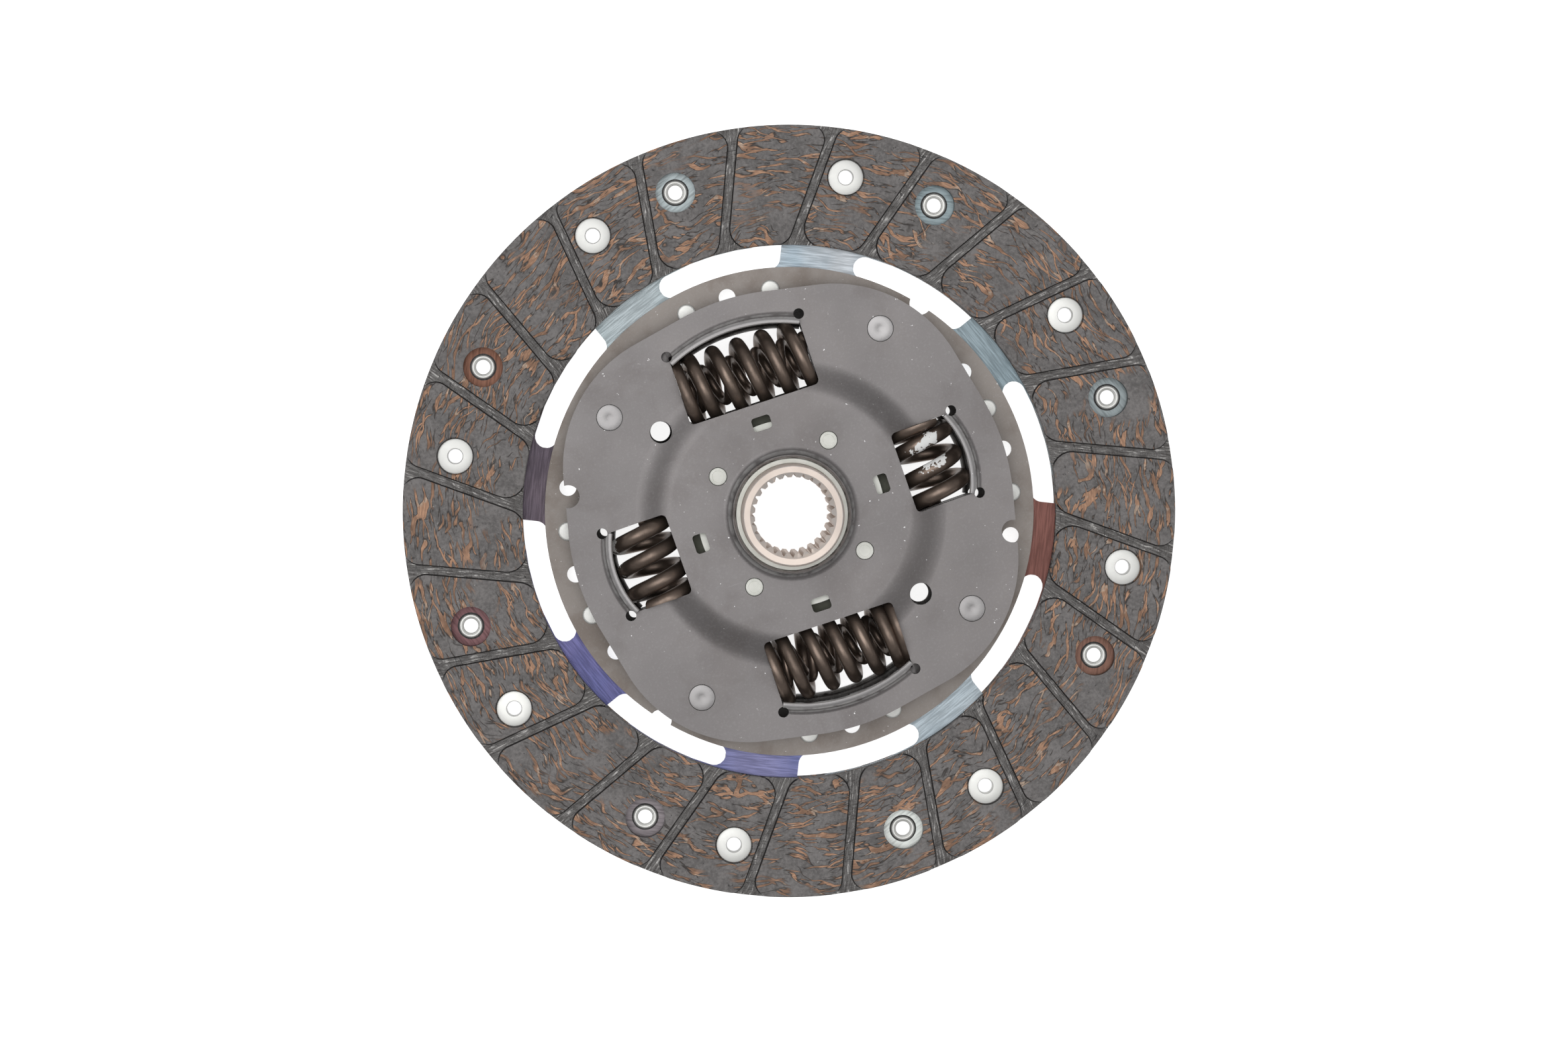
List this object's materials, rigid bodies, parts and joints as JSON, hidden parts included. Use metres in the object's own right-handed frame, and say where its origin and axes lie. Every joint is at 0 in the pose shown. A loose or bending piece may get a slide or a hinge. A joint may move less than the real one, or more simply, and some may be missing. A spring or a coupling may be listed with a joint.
{
  "type": "clutch disc",
  "caption": "Dry clutch disc: grooved friction facings on waved segments, a windowed torsion damper with coil springs, and a splined hub that twists against its stop pins.",
  "frame": {"origin": "on the shaft axis, in the plane of the rear friction face", "axes": "+Z along the shaft axis towards the cover plate and the hub's nose; the long damper windows lie on +Y and -Y"},
  "size_m": [0.21, 0.21, 0.0355],
  "materials": {
    "facing": "rough",
    "plate_steel": "satin",
    "rivet_steel": "satin",
    "tempered_steel": "satin",
    "spring_steel": "gloss",
    "hub_steel": "machined",
    "plastic": "satin",
    "friction_liner": "rough"
  },
  "bodies": {
    "carrier": {"front_facing": "facing", "rear_facing": "facing", "facing_rivets_front": "rivet_steel", "facing_rivets_rear": "rivet_steel", "cushion_segment_1": "tempered_steel", "cushion_segment_2": "tempered_steel", "cushion_segment_3": "tempered_steel", "cushion_segment_4": "tempered_steel", "cushion_segment_5": "tempered_steel", "cushion_segment_6": "tempered_steel", "cushion_segment_7": "tempered_steel", "cushion_segment_8": "tempered_steel", "segment_rivets": "rivet_steel", "drive_plate": "plate_steel", "cover_plate": "plate_steel", "stop_pins": "rivet_steel", "front_bush": "plastic", "rear_bush": "plastic", "friction_ring": "friction_liner", "rear_friction_ring": "friction_liner", "support_washer": "rivet_steel", "disc_spring": "tempered_steel"},
    "hub": {"hub": "hub_steel", "hub_flange": "plate_steel"},
    "springs": {"long_spring_1": "spring_steel", "long_spring_2": "spring_steel", "nested_spring_1": "spring_steel", "nested_spring_2": "spring_steel", "short_spring_1": "spring_steel", "short_spring_2": "spring_steel"}
  },
  "joints": [
    {"name": "hub_twist", "type": "hinge", "parent": "carrier", "child": "hub", "pos_m": [0, 0, 0.011], "axis": [0, 0, 1], "range_deg": [-8, 8], "stiffness_Nm_per_rad": 1100},
    {"name": "spring_shift", "type": "hinge", "parent": "carrier", "child": "springs", "pos_m": [0, 0, 0.011], "axis": [0, 0, 1], "range_deg": [-4, 4], "deforming": ["long_spring_1", "long_spring_2", "nested_spring_1", "nested_spring_2", "short_spring_1", "short_spring_2"]}
  ],
  "couplings": [
    {"joint": "spring_shift", "follows": "hub_twist", "ratio": 0.5}
  ]
}
